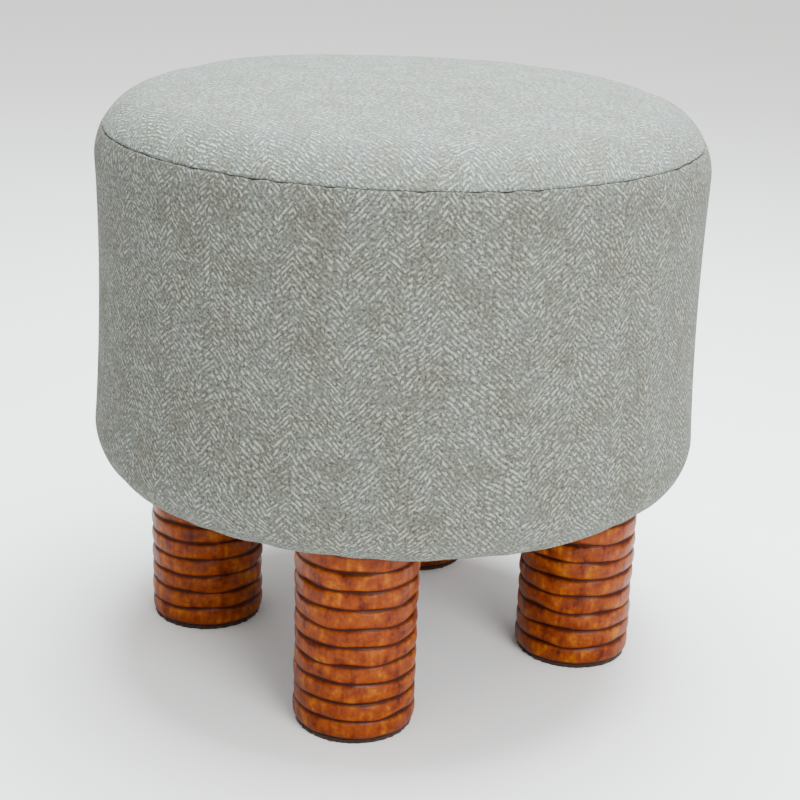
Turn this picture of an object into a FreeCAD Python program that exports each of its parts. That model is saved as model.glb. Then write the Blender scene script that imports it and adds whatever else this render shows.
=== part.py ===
import FreeCAD, Part
import Sketcher
import os

# A round upholstered footstool: a padded drum on four ring-carved wooden legs.
# Millimetres. The origin is on the floor under the middle of the drum, +Z is up
# and the front is towards -Y. The legs stand on the diagonals.

doc = FreeCAD.newDocument("footstool")
sizes = doc.addObject("Spreadsheet::Sheet", "Sizes")
places = doc.addObject("Spreadsheet::Sheet", "Places")

# Driving dimensions: name, value, what it is.
DRIVING = [
    ("overall_height", 316.0, "floor to the top of the crown"),
    ("side_diameter", 318.8, "drum across its upright side"),
    ("flare", 3.1, "how much the drum widens, on each side, towards its bottom corner"),
    ("flare_rise", 100.0, "how far above the drum's underside the widening starts"),
    ("corner_radius", 26.0, "rounding of the bottom corner"),
    ("shoulder_radius", 34.0, "rounding between side and crown"),
    ("crown_radius", 972.0, "radius of the gentle dome of the seat"),
    ("seam_angle", 27.0, "how far up the shoulder the seam lies, in degrees"),
    ("seam_round", 2.0, "how far the fabric bends away beside the seam"),
    ("seam_gap", 0.1, "space between the two layers sewn together"),
    ("seam_allowance", 5.0, "depth of the fabric turned in at the seam"),
    ("fabric_thickness", 1.5, "upholstery fabric"),
    ("layer_gap", 0.2, "play between one soft layer and the next"),
    ("top_foam_thickness", 50.7, "foam over the upper disc, at the middle"),
    ("side_foam_thickness", 14.3, "foam round the hoop"),
    ("hem_width", 26.0, "fabric turned under the lower disc, from its rim inwards"),
    ("dust_cover_setback", 10.0, "dust cover's edge inside the disc's rim"),
    ("dust_cover_thickness", 0.6, "non-woven cloth"),
    ("dust_cover_hole_diameter", 10.0, "hole in the cloth for each leg bolt"),
    ("base_board_thickness", 15.0, "lower disc"),
    ("top_board_thickness", 12.0, "upper disc"),
    ("base_board_bevel", 5.0, "bevel round the lower disc's bottom edge"),
    ("post_width", 40.0, "across the post, along the rim"),
    ("post_depth", 25.0, "through the post, towards the middle"),
    ("post_setback", 4.0, "post's outer face inside the disc's rim"),
    ("wall_thickness", 3.0, "bent fibreboard hoop"),
    ("wall_fit", 0.2, "play between hoop and discs"),
    ("wall_butt_gap", 2.0, "joint where the hoop's ends meet"),
    ("leg_length", 102.0, "wood of the leg"),
    ("leg_diameter", 64.0, "over the rings"),
    ("leg_setback", 34.0, "leg's middle inside the disc's rim"),
    ("leg_angle", 45.0, "first leg's direction, in degrees from +X"),
    ("leg_flats", 20, "narrow flats that the carver leaves round each ring"),
    ("ring_count", 10, "rings along the leg"),
    ("ring_bevel", 1.4, "slope on both sides of each groove between rings"),
    ("pad_thickness", 2.5, "felt pad under the leg"),
    ("pad_margin", 1.5, "wood showing round the pad"),
    ("bolt_diameter", 8.0, "hanger bolt"),
    ("bolt_in_leg", 30.0, "bolt screwed into the leg"),
    ("bolt_above_nut", 1.5, "bolt end standing above the tee nut"),
    ("bolt_tip_length", 6.0, "tapered screw point"),
    ("bolt_tip_taper", 22.0, "slope of the screw point, in degrees"),
    ("bolt_fit", 0.1, "play round the bolt"),
    ("bolt_hole_spare", 2.0, "hole in the leg deeper than the bolt"),
    ("nut_flange_diameter", 22.0, "tee nut flange"),
    ("nut_flange_thickness", 1.5, "tee nut flange"),
    ("nut_barrel_diameter", 10.6, "tee nut barrel"),
    ("nut_barrel_length", 11.0, "tee nut barrel below the flange"),
    ("nut_fit", 0.1, "play round barrel and prongs"),
    ("prong_circle_diameter", 18.0, "circle through the four prongs"),
    ("prong_width", 3.0, "prong"),
    ("prong_thickness", 1.2, "prong"),
    ("prong_length", 7.0, "prong"),
    ("screw_diameter", 4.0, "wood screw"),
    ("screw_head_diameter", 8.0, "countersunk head"),
    ("screw_length", 40.0, "wood screw with its head"),
    ("screw_fit", 0.1, "play round the screw"),
    ("staple_crown", 10.0, "staple across"),
    ("staple_wire", 0.7, "staple wire thickness"),
    ("staple_width", 1.0, "staple wire width"),
    ("staple_leg", 8.0, "staple depth over all"),
    ("staple_fit", 0.1, "play round the wire"),
    ("hem_staple_count", 16, "round the hem"),
    ("hem_staple_setback", 22.0, "hem staples inside the disc's rim"),
    ("dust_staple_setback", 13.5, "dust cover staples inside the disc's rim"),
    ("dust_staple_spread", 13.0, "degrees between staples of one row"),
]

# Places worked out from the driving dimensions, in the order they build on each other.
DERIVED = [
    ("leg_top", "Sizes.pad_thickness + Sizes.leg_length"),
    ("cover_bottom", "Places.leg_top + Sizes.dust_cover_thickness"),
    ("board_bottom", "Places.cover_bottom + Sizes.fabric_thickness"),
    ("board_top", "Places.board_bottom + Sizes.base_board_thickness"),
    ("foam_depth", "Sizes.fabric_thickness + Sizes.layer_gap"),
    ("frame_top", "Sizes.overall_height - Places.foam_depth - Sizes.top_foam_thickness"),
    ("post_top", "Places.frame_top - Sizes.top_board_thickness"),
    ("post_length", "Places.post_top - Places.board_top"),
    ("foam_inside", "Sizes.side_diameter / 2 - Places.foam_depth - Sizes.side_foam_thickness"),
    ("wall_outside", "Places.foam_inside - Sizes.layer_gap"),
    ("wall_inside", "Places.wall_outside - Sizes.wall_thickness"),
    ("wall_bottom", "Places.board_bottom + Sizes.base_board_bevel + Sizes.wall_fit"),
    ("board_radius", "Places.wall_inside - Sizes.wall_fit"),
    ("post_centre", "Places.board_radius - Sizes.post_setback - Sizes.post_depth / 2"),
    ("hem_inside", "Places.board_radius - Sizes.hem_width"),
    ("hem_staple_circle", "Places.board_radius - Sizes.hem_staple_setback"),
    ("dust_staple_circle", "Places.board_radius - Sizes.dust_staple_setback"),
    ("dust_cover_radius", "Places.board_radius - Sizes.dust_cover_setback"),
    ("flare_height", "Places.cover_bottom + Sizes.flare_rise"),
    ("corner_x", "Sizes.side_diameter / 2 + Sizes.flare - Sizes.corner_radius"),
    ("corner_z", "Places.cover_bottom + Sizes.corner_radius"),
    ("crown_z", "Sizes.overall_height - Sizes.crown_radius"),
    ("crown_reach", "Sizes.crown_radius - Sizes.shoulder_radius"),
    ("shoulder_x", "Sizes.side_diameter / 2 - Sizes.shoulder_radius"),
    ("shoulder_z", "Places.crown_z + sqrt(Places.crown_reach ^ 2 - Places.shoulder_x ^ 2)"),
    ("crown_angle", "acos(Places.shoulder_x / Places.crown_reach) / 1 deg"),
    ("seam_side", "Sizes.seam_gap / 2 + Sizes.seam_round"),
    ("seam_reach", "Sizes.shoulder_radius - Sizes.seam_round"),
    ("seam_spread", "asin(Places.seam_side / Places.seam_reach) / 1 deg"),
    ("seam_centre", "sqrt(Places.seam_reach ^ 2 - Places.seam_side ^ 2)"),
    ("seam_low", "Sizes.seam_angle - Places.seam_spread"),
    ("seam_high", "Sizes.seam_angle + Places.seam_spread"),
    ("leg_circle", "Places.board_radius - Sizes.leg_setback"),
    ("ring_pitch", "Sizes.leg_length / Sizes.ring_count"),
    ("nut_top", "Places.board_top + Sizes.nut_flange_thickness"),
    ("prong_circle", "Sizes.prong_circle_diameter / 2"),
    ("screw_head_depth", "(Sizes.screw_head_diameter - Sizes.screw_diameter) / 2"),
]

for row, (alias, value, note) in enumerate(DRIVING, 1):
    sizes.set(f"A{row}", alias)
    sizes.set(f"B{row}", str(value))
    sizes.setAlias(f"B{row}", alias)
    sizes.set(f"C{row}", note)
doc.recompute()
for row, (alias, formula) in enumerate(DERIVED, 1):
    places.set(f"A{row}", alias)
    places.set(f"B{row}", "=" + formula.replace("Places.", ""))
    places.setAlias(f"B{row}", alias)
    doc.recompute()

# The drum's roundings are followed in a few straight steps, outside and inside alike,
# so that the layers stay parallel. Small fasteners and their holes are many-sided.
CORNER_STEPS = 4
SHOULDER_STEPS = 3
CROWN_STEPS = 2
FASTENER_SIDES = 8

# Slope of a countersunk head and of its hole, in degrees.
COUNTERSINK = 45

# Directions of the four legs and the four posts, in degrees from +X.
QUARTER_TURN = 90
LEG_NAMES = ["rear_right", "rear_left", "front_left", "front_right"]
POST_NAMES = ["right", "rear", "left", "front"]

parts = []


# General helpers

def number(formula):
    """The value of a formula written with the sheets' names."""
    return float(sizes.evalExpression(str(formula)))


def origin(body, role):
    """One of the body's own origin planes or axes."""
    return [item for item in body.Origin.OriginFeatures if item.Role == role][0]


def new_body(name):
    body = doc.addObject("PartDesign::Body", name)
    body.Label = name
    parts.append(body)
    return body


def new_sketch(body, name, role, offset="0"):
    """A sketch on an origin plane of the body, moved along the plane's normal."""
    sketch = body.newObject("Sketcher::SketchObject", name)
    sketch.AttachmentSupport = [(origin(body, role), "")]
    sketch.MapMode = "FlatFace"
    sketch.setExpression("AttachmentOffset.Base.z", str(offset))
    return sketch


def tie(sketch, kind, *rest):
    """Adds a dimension whose value, given last, is a formula."""
    *where, formula = rest
    index = sketch.addConstraint(Sketcher.Constraint(kind, *where, number(formula)))
    sketch.setExpression(f"Constraints[{index}]", str(formula))


def draw_outline(sketch, corners):
    """A closed outline of straight lines, whose corners (x, y) are formulas."""
    first = sketch.GeometryCount
    points = [FreeCAD.Vector(number(x), number(y), 0) for x, y in corners]
    for here, there in zip(points, points[1:] + points[:1]):
        sketch.addGeometry(Part.LineSegment(here, there))
    for i in range(len(corners)):
        j = (i + 1) % len(corners)
        sketch.addConstraint(Sketcher.Constraint("Coincident", first + i, 2, first + j, 1))
    for i, (x, y) in enumerate(corners):
        tie(sketch, "DistanceX", -1, 1, first + i, 1, x)
        tie(sketch, "DistanceY", -1, 1, first + i, 1, y)


def draw_many_sided(sketch, x, y, radius, sides, turn="0"):
    """A regular outline about (x, y), with a corner in the direction of turn."""
    corners = []
    for index in range(int(number(sides))):
        angle = f"({turn} + {index} * 360 / {sides})"
        corners.append((f"{x} + ({radius}) * cos({angle})", f"{y} + ({radius}) * sin({angle})"))
    draw_outline(sketch, corners)


def draw_circle(sketch, x, y, radius):
    centre = FreeCAD.Vector(number(x), number(y), 0)
    index = sketch.addGeometry(Part.Circle(centre, FreeCAD.Vector(0, 0, 1), number(radius)))
    tie(sketch, "DistanceX", -1, 1, index, 3, x)
    tie(sketch, "DistanceY", -1, 1, index, 3, y)
    tie(sketch, "Radius", index, radius)


def draw_rectangle(sketch, x, y, width, height):
    """A rectangle about its centre."""
    draw_outline(sketch, [
        (f"{x} - ({width}) / 2", f"{y} - ({height}) / 2"),
        (f"{x} + ({width}) / 2", f"{y} - ({height}) / 2"),
        (f"{x} + ({width}) / 2", f"{y} + ({height}) / 2"),
        (f"{x} - ({width}) / 2", f"{y} + ({height}) / 2"),
    ])


def pad(body, name, sketch, length, downwards=False, taper="0"):
    """Thickens a sketch, with sides that lean inwards by taper degrees."""
    feature = body.newObject("PartDesign::Pad", name)
    feature.Profile = sketch
    feature.setExpression("Length", str(length))
    feature.Reversed = downwards
    feature.setExpression("TaperAngle", f"-({taper}) * 1 deg")
    doc.recompute()
    return feature


def pocket(body, name, sketch, length, upwards=False, taper="0"):
    """Cuts a pocket below its sketch, or above it, and makes sure that it cut something."""
    before = body.Shape.Volume
    feature = body.newObject("PartDesign::Pocket", name)
    feature.Profile = sketch
    feature.setExpression("Length", str(length))
    feature.Reversed = upwards
    feature.setExpression("TaperAngle", f"-({taper}) * 1 deg")
    doc.recompute()
    if body.Shape.Volume >= before:
        raise RuntimeError(name + " cuts nothing")
    return feature


def revolve(body, name, corners):
    """Turns an outline in the XZ plane about the vertical axis."""
    sketch = new_sketch(body, name + "_section", "XZ_Plane")
    draw_outline(sketch, corners)
    feature = body.newObject("PartDesign::Revolution", name)
    feature.Profile = sketch
    feature.ReferenceAxis = (sketch, ["V_Axis"])
    feature.Angle = 360
    doc.recompute()
    return feature


def pattern_round(body, name, originals, count):
    """Repeats features round the body's own vertical axis."""
    feature = body.newObject("PartDesign::PolarPattern", name)
    feature.Originals = originals
    feature.Axis = (origin(body, "Z_Axis"), [""])
    feature.Angle = 360
    feature.setExpression("Occurrences", str(count))
    body.Tip = feature
    doc.recompute()
    return feature


def bevel(body, name, base, height, size):
    """Bevels the edges of the flat face at the given height."""
    level = number(height)
    faces = []
    for index, face in enumerate(base.Shape.Faces, 1):
        box = face.BoundBox
        if box.ZLength < 1e-6 and abs(box.ZMin - level) < 1e-6:
            faces.append(f"Face{index}")
    feature = body.newObject("PartDesign::Chamfer", name)
    feature.Base = (base, faces)
    feature.setExpression("Size", str(size))
    doc.recompute()
    return feature


def put(body, x="0", y="0", z="0", turn="0"):
    """Places a body: a turn about +Z, in degrees, then a move."""
    body.Placement = FreeCAD.Placement(
        FreeCAD.Vector(number(x), number(y), number(z)),
        FreeCAD.Rotation(FreeCAD.Vector(0, 0, 1), number(turn)),
    )
    body.setExpression("Placement.Base.x", str(x))
    body.setExpression("Placement.Base.y", str(y))
    body.setExpression("Placement.Base.z", str(z))
    body.setExpression("Placement.Rotation.Angle", f"({turn}) * 1 deg")


# Lines of the drum, at a depth below the outside of the fabric

def on_circle(centre_x, centre_z, radius, angle):
    return (
        f"{centre_x} + ({radius}) * cos({angle})",
        f"{centre_z} + ({radius}) * sin({angle})",
    )


def on_corner(depth, angle):
    """A point of the bottom corner. -90 is straight down and 0 points outwards."""
    return on_circle("Places.corner_x", "Places.corner_z", f"Sizes.corner_radius - ({depth})", angle)


def on_shoulder(depth, angle):
    """A point of the shoulder. 0 points outwards and the crown starts at crown_angle."""
    return on_circle("Places.shoulder_x", "Places.shoulder_z", f"Sizes.shoulder_radius - ({depth})", angle)


def crown_edge(depth):
    """Where the shoulder runs into the crown."""
    return on_shoulder(depth, "Places.crown_angle")


def on_crown(depth, share):
    """A point of the crown, a share of the way from the middle to its edge."""
    across = f"({crown_edge(depth)[0]}) * {share}"
    return (across, f"Places.crown_z + sqrt((Sizes.crown_radius - ({depth})) ^ 2 - ({across}) ^ 2)")


def on_side(depth, height):
    """A point of the upright side."""
    return (f"Sizes.side_diameter / 2 - ({depth})", height)


def at_seam(along, aside):
    """A point beside the seam's own line, which leaves the shoulder's centre at seam_angle."""
    return (
        f"Places.shoulder_x + ({along}) * cos(Sizes.seam_angle) - ({aside}) * sin(Sizes.seam_angle)",
        f"Places.shoulder_z + ({along}) * sin(Sizes.seam_angle) + ({aside}) * cos(Sizes.seam_angle)",
    )


def corner_line(depth):
    """Points round the bottom corner, from the side down to the underside."""
    return [on_corner(depth, f"(-90 * {i} / {CORNER_STEPS})") for i in range(CORNER_STEPS + 1)]


def crown_line(depth):
    """Points from the seam over the shoulder and the crown to the middle."""
    climb = "(Places.crown_angle - Places.seam_high)"
    points = []
    for i in range(SHOULDER_STEPS):
        points.append(on_shoulder(depth, f"(Places.seam_high + {climb} * {i} / {SHOULDER_STEPS})"))
    for i in range(CROWN_STEPS + 1):
        points.append(on_crown(depth, f"(1 - {i} / {CROWN_STEPS})"))
    return points


# Seat cover, lower panel: one long strip of fabric round the drum. Its top edge turns
# into the seam and its bottom edge turns under the base, where it is stapled.

def make_cover_side_band():
    body = new_body("cover_side_band")
    inside = "Sizes.fabric_thickness"
    seam_end = "Sizes.shoulder_radius - Sizes.seam_allowance"
    outer_face = "-(Sizes.seam_gap / 2)"
    inner_face = "-(Sizes.seam_gap / 2 + Sizes.fabric_thickness)"
    corners = [
        at_seam(seam_end, outer_face),
        at_seam("Places.seam_centre", outer_face),
        on_shoulder(0, "Places.seam_low"),
        on_shoulder(0, 0),
        on_side(0, "Places.flare_height"),
        *corner_line(0),
        ("Places.hem_inside", "Places.cover_bottom"),
        ("Places.hem_inside", "Places.board_bottom"),
        *reversed(corner_line(inside)),
        on_side(inside, "Places.flare_height"),
        on_shoulder(inside, 0),
        on_shoulder(inside, "Places.seam_low"),
        at_seam(seam_end, inner_face),
    ]
    revolve(body, "band", corners)
    recess = new_sketch(body, "crown_recess_outline", "XY_Plane", "Places.cover_bottom")
    staple_outline(recess, "Places.hem_staple_circle", crown=True)
    crown_recess = pocket(body, "crown_recess", recess, "Sizes.staple_wire", upwards=True)
    slots = new_sketch(body, "hem_slot_outline", "XY_Plane", "Places.cover_bottom")
    staple_outline(slots, "Places.hem_staple_circle")
    hem_slots = pocket(body, "hem_slots", slots, "Sizes.fabric_thickness", upwards=True)
    pattern_round(body, "hem_staple_places", [crown_recess, hem_slots], "Sizes.hem_staple_count")
    dust = new_sketch(body, "dust_slot_outline", "XY_Plane", "Places.cover_bottom")
    for turn in dust_staple_turns():
        staple_outline(dust, "Places.dust_staple_circle", turn)
    dust_slots = pocket(body, "dust_slots", dust, "Sizes.fabric_thickness", upwards=True)
    pattern_round(body, "dust_staple_places", [dust_slots], len(POST_NAMES))


# Seat cover, upper panel: a round of fabric over the crown, sewn to the band.

def make_cover_top_panel():
    body = new_body("cover_top_panel")
    inside = "Sizes.fabric_thickness"
    seam_end = "Sizes.shoulder_radius - Sizes.seam_allowance"
    outer_face = "Sizes.seam_gap / 2"
    inner_face = "Sizes.seam_gap / 2 + Sizes.fabric_thickness"
    corners = [
        at_seam(seam_end, outer_face),
        at_seam("Places.seam_centre", outer_face),
        *crown_line(0),
        *reversed(crown_line(inside)),
        at_seam(seam_end, inner_face),
    ]
    revolve(body, "panel", corners)


# Padding: a foam strip glued round the hoop, and a thick domed foam disc on top.

def make_side_foam():
    body = new_body("side_foam")
    depth = "Places.foam_depth"
    rounding = corner_line(depth)[:-1]
    corners = [
        ("Places.foam_inside", rounding[-1][1]),
        *reversed(rounding),
        on_side(depth, "Places.flare_height"),
        on_side(depth, "Places.frame_top"),
        ("Places.foam_inside", "Places.frame_top"),
    ]
    revolve(body, "strip", corners)


def make_top_foam():
    body = new_body("top_foam")
    depth = "Places.foam_depth"
    under_seam = "Sizes.seam_allowance + Sizes.layer_gap"
    corners = [
        (0, "Places.frame_top"),
        on_side(depth, "Places.frame_top"),
        on_shoulder(depth, 0),
        at_seam(f"Sizes.shoulder_radius - ({under_seam})", "-(Places.seam_side)"),
        at_seam(f"Sizes.shoulder_radius - ({under_seam})", "Places.seam_side"),
        *crown_line(depth)[1:],
    ]
    revolve(body, "disc", corners)


# Wooden carcass: two plywood discs, four posts between them, and a fibreboard hoop.

def screw_holes(body, face, thickness, upwards, turn="0"):
    """A countersunk hole for the post screw that lies in the direction of turn."""
    centre_x = f"Places.post_centre * cos({turn})"
    centre_y = f"Places.post_centre * sin({turn})"
    shank = new_sketch(body, "screw_hole_outline", "XY_Plane", face)
    shank_play = "Sizes.screw_diameter / 2 + Sizes.screw_fit"
    draw_many_sided(shank, centre_x, centre_y, shank_play, FASTENER_SIDES, turn)
    hole = pocket(body, "screw_hole", shank, thickness, upwards)
    sink = new_sketch(body, "countersink_outline", "XY_Plane", face)
    head_play = "Sizes.screw_head_diameter / 2 + Sizes.screw_fit"
    draw_many_sided(sink, centre_x, centre_y, head_play, FASTENER_SIDES, turn)
    countersink = pocket(body, "countersink", sink, "Places.screw_head_depth", upwards, COUNTERSINK)
    return [hole, countersink]


def make_base_board():
    """The lower disc. Its local X axis points at a leg."""
    body = new_body("base_board")
    disc = new_sketch(body, "disc_outline", "XY_Plane")
    draw_circle(disc, 0, 0, "Places.board_radius")
    blank = pad(body, "disc", disc, "Sizes.base_board_thickness")
    bevel(body, "rim_bevel", blank, 0, "Sizes.base_board_bevel")
    nut = new_sketch(body, "nut_hole_outline", "XY_Plane", "Sizes.base_board_thickness")
    nut_play = "Sizes.nut_barrel_diameter / 2 + Sizes.nut_fit"
    draw_many_sided(nut, "Places.leg_circle", 0, nut_play, FASTENER_SIDES)
    nut_hole = pocket(body, "nut_hole", nut, "Sizes.base_board_thickness")
    prongs = new_sketch(body, "prong_slot_outline", "XY_Plane", "Sizes.base_board_thickness")
    prong_outline(prongs, "2 * Sizes.nut_fit")
    prong_slots = pocket(body, "prong_slots", prongs, "Sizes.prong_length + Sizes.nut_fit")
    pattern_round(body, "nut_places", [nut_hole, prong_slots], len(LEG_NAMES))
    holes = screw_holes(body, "0", "Sizes.base_board_thickness", True, "-(Sizes.leg_angle)")
    pattern_round(body, "screw_places", holes, len(POST_NAMES))
    hem = new_sketch(body, "hem_slot_outline", "XY_Plane")
    staple_outline(hem, "Places.hem_staple_circle", "-(Sizes.leg_angle)")
    hem_depth = "Sizes.staple_leg - Sizes.fabric_thickness + Sizes.staple_fit"
    hem_slots = pocket(body, "hem_slots", hem, hem_depth, upwards=True)
    pattern_round(body, "hem_staple_places", [hem_slots], "Sizes.hem_staple_count")
    dust = new_sketch(body, "dust_slot_outline", "XY_Plane")
    for turn in dust_staple_turns():
        staple_outline(dust, "Places.dust_staple_circle", f"({turn} - Sizes.leg_angle)")
    layers = "(Sizes.staple_wire + Sizes.dust_cover_thickness + Sizes.fabric_thickness)"
    dust_depth = f"Sizes.staple_leg - {layers} + Sizes.staple_fit"
    dust_slots = pocket(body, "dust_slots", dust, dust_depth, upwards=True)
    pattern_round(body, "dust_staple_places", [dust_slots], len(POST_NAMES))
    put(body, z="Places.board_bottom", turn="Sizes.leg_angle")


def make_top_board():
    """The upper disc, with a countersunk hole over each post."""
    body = new_body("top_board")
    thickness = "Sizes.top_board_thickness"
    disc = new_sketch(body, "disc_outline", "XY_Plane")
    draw_circle(disc, 0, 0, "Places.board_radius")
    pad(body, "disc", disc, thickness)
    pattern_round(body, "screw_places", screw_holes(body, thickness, thickness, False), len(POST_NAMES))
    put(body, z="Places.post_top")


def make_post(name, turn):
    """A pine block between the discs, with a pilot hole in each end."""
    body = new_body("post_" + name)
    block = new_sketch(body, "block_outline", "XY_Plane")
    draw_rectangle(block, 0, 0, "Sizes.post_depth", "Sizes.post_width")
    pad(body, "block", block, "Places.post_length")
    pilot = "Sizes.screw_diameter / 2 + Sizes.screw_fit"
    low = new_sketch(body, "low_pilot_outline", "XY_Plane")
    draw_many_sided(low, 0, 0, pilot, FASTENER_SIDES)
    low_depth = "Sizes.screw_length - Sizes.base_board_thickness + Sizes.screw_fit"
    pocket(body, "low_pilot", low, low_depth, upwards=True)
    high = new_sketch(body, "high_pilot_outline", "XY_Plane", "Places.post_length")
    draw_many_sided(high, 0, 0, pilot, FASTENER_SIDES)
    pocket(body, "high_pilot", high, "Sizes.screw_length - Sizes.top_board_thickness + Sizes.screw_fit")
    across = f"Places.post_centre * cos({turn})"
    along = f"Places.post_centre * sin({turn})"
    put(body, across, along, "Places.board_top", turn)


def make_side_wall():
    """Fibreboard bent round the discs. Its ends meet over the rear post."""
    body = new_body("side_wall")
    ring = new_sketch(body, "ring_outline", "XY_Plane", "Places.wall_bottom")
    draw_circle(ring, 0, 0, "Places.wall_outside")
    draw_circle(ring, 0, 0, "Places.wall_inside")
    pad(body, "hoop", ring, "Places.frame_top - Places.wall_bottom")
    joint = new_sketch(body, "butt_joint_outline", "XY_Plane", "Places.frame_top")
    middle = "(Places.wall_inside + Places.wall_outside) / 2"
    draw_rectangle(joint, 0, middle, "Sizes.wall_butt_gap", "2 * Sizes.wall_thickness")
    pocket(body, "butt_joint", joint, "Places.frame_top - Places.wall_bottom")


def make_screws(name, head_z, upwards):
    """Four countersunk wood screws, one into the end of each post."""
    body = new_body(name)
    axis = "Places.post_centre"
    shank = new_sketch(body, "shank_outline", "XY_Plane", head_z)
    draw_many_sided(shank, axis, 0, "Sizes.screw_diameter / 2", FASTENER_SIDES)
    shank_pad = pad(body, "shank", shank, "Sizes.screw_length", downwards=not upwards)
    head = new_sketch(body, "head_outline", "XY_Plane", head_z)
    draw_many_sided(head, axis, 0, "Sizes.screw_head_diameter / 2", FASTENER_SIDES)
    head_pad = pad(body, "head", head, "Places.screw_head_depth", not upwards, COUNTERSINK)
    pattern_round(body, "screws", [shank_pad, head_pad], len(POST_NAMES))


# Underside: the dust cover and the staples that hold it and the hem.

def dust_staple_turns():
    """Directions of one row of three dust cover staples, between two legs."""
    return ["-(Sizes.dust_staple_spread)", "0", "Sizes.dust_staple_spread"]


def turned_rectangle(sketch, circle, aside, width, length, turn):
    """A rectangle whose middle lies on a circle and aside along it, turned about the origin."""
    corners = []
    for side, end in ((-1, -1), (1, -1), (1, 1), (-1, 1)):
        outwards = f"({circle} + {side} * ({width}) / 2)"
        sideways = f"({aside} + {end} * ({length}) / 2)"
        corners.append((
            f"{outwards} * cos({turn}) - {sideways} * sin({turn})",
            f"{outwards} * sin({turn}) + {sideways} * cos({turn})",
        ))
    draw_outline(sketch, corners)


def staple_outline(sketch, circle, turn="0", crown=False, play="Sizes.staple_fit"):
    """Where a staple lies across a circle: its two legs, or the whole crown."""
    width = f"Sizes.staple_width + 2 * {play}"
    if crown:
        turned_rectangle(sketch, circle, "0", width, f"Sizes.staple_crown + 2 * {play}", turn)
        return
    for side in (-1, 1):
        aside = f"{side} * (Sizes.staple_crown - Sizes.staple_wire) / 2"
        turned_rectangle(sketch, circle, aside, width, f"Sizes.staple_wire + 2 * {play}", turn)


def make_staples(name, circle, crown_z, turns, count):
    """Wire staples with their legs up, patterned round the base."""
    body = new_body(name)
    made = []
    for index, turn in enumerate(turns):
        crown = new_sketch(body, f"crown_outline_{index}", "XY_Plane", crown_z)
        staple_outline(crown, circle, turn, crown=True, play="0")
        made.append(pad(body, f"crown_{index}", crown, "Sizes.staple_wire"))
        legs = new_sketch(body, f"leg_outline_{index}", "XY_Plane", crown_z)
        staple_outline(legs, circle, turn, play="0")
        made.append(pad(body, f"legs_{index}", legs, "Sizes.staple_leg"))
    pattern_round(body, "staples", made, count)


def make_dust_cover():
    """Thin black cloth under the base, with a hole for each leg bolt."""
    body = new_body("dust_cover")
    cloth = new_sketch(body, "cloth_outline", "XY_Plane", "Places.leg_top")
    draw_circle(cloth, 0, 0, "Places.dust_cover_radius")
    for index in range(len(LEG_NAMES)):
        turn = f"(Sizes.leg_angle + {index * QUARTER_TURN})"
        hole_x = f"Places.leg_circle * cos({turn})"
        hole_y = f"Places.leg_circle * sin({turn})"
        draw_many_sided(cloth, hole_x, hole_y, "Sizes.dust_cover_hole_diameter / 2", FASTENER_SIDES)
    pad(body, "cloth", cloth, "Sizes.dust_cover_thickness")
    slots = new_sketch(body, "slot_outline", "XY_Plane", "Places.cover_bottom")
    for turn in dust_staple_turns():
        staple_outline(slots, "Places.dust_staple_circle", turn)
    staple_slots = pocket(body, "staple_slots", slots, "Sizes.dust_cover_thickness")
    pattern_round(body, "staple_places", [staple_slots], len(POST_NAMES))


# Legs: turned blanks carved with rings, each on a bolt that screws up into the base.

def make_leg(name, turn):
    """One ring with bevelled edges, repeated up the leg, so that two bevels make a groove."""
    body = new_body("leg_" + name)
    blank = new_sketch(body, "ring_outline", "XY_Plane")
    draw_many_sided(blank, 0, 0, "Sizes.leg_diameter / 2", "Sizes.leg_flats")
    ring = pad(body, "ring", blank, "Places.ring_pitch")
    low = bevel(body, "low_bevel", ring, 0, "Sizes.ring_bevel")
    bevel(body, "high_bevel", low, "Places.ring_pitch", "Sizes.ring_bevel")
    rings = body.newObject("PartDesign::LinearPattern", "rings")
    rings.TransformMode = "Whole shape"
    rings.Direction = (origin(body, "Z_Axis"), [""])
    rings.setExpression("Length", "Sizes.leg_length - Places.ring_pitch")
    rings.setExpression("Occurrences", "Sizes.ring_count")
    body.Tip = rings
    doc.recompute()
    bore = new_sketch(body, "bore_outline", "XY_Plane", "Sizes.leg_length")
    draw_many_sided(bore, 0, 0, "Sizes.bolt_diameter / 2 + Sizes.bolt_fit", FASTENER_SIDES)
    pocket(body, "bore", bore, "Sizes.bolt_in_leg + Sizes.bolt_hole_spare")
    across = f"Places.leg_circle * cos({turn})"
    along = f"Places.leg_circle * sin({turn})"
    put(body, across, along, "Sizes.pad_thickness", turn)


def make_foot_pad(name, turn):
    """Felt pad glued under a leg, trimmed to the leg's own outline."""
    body = new_body("foot_pad_" + name)
    outline = new_sketch(body, "pad_outline", "XY_Plane")
    draw_many_sided(outline, 0, 0, "Sizes.leg_diameter / 2 - Sizes.pad_margin", "Sizes.leg_flats")
    pad(body, "felt", outline, "Sizes.pad_thickness")
    across = f"Places.leg_circle * cos({turn})"
    along = f"Places.leg_circle * sin({turn})"
    put(body, across, along, "0", turn)


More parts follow.
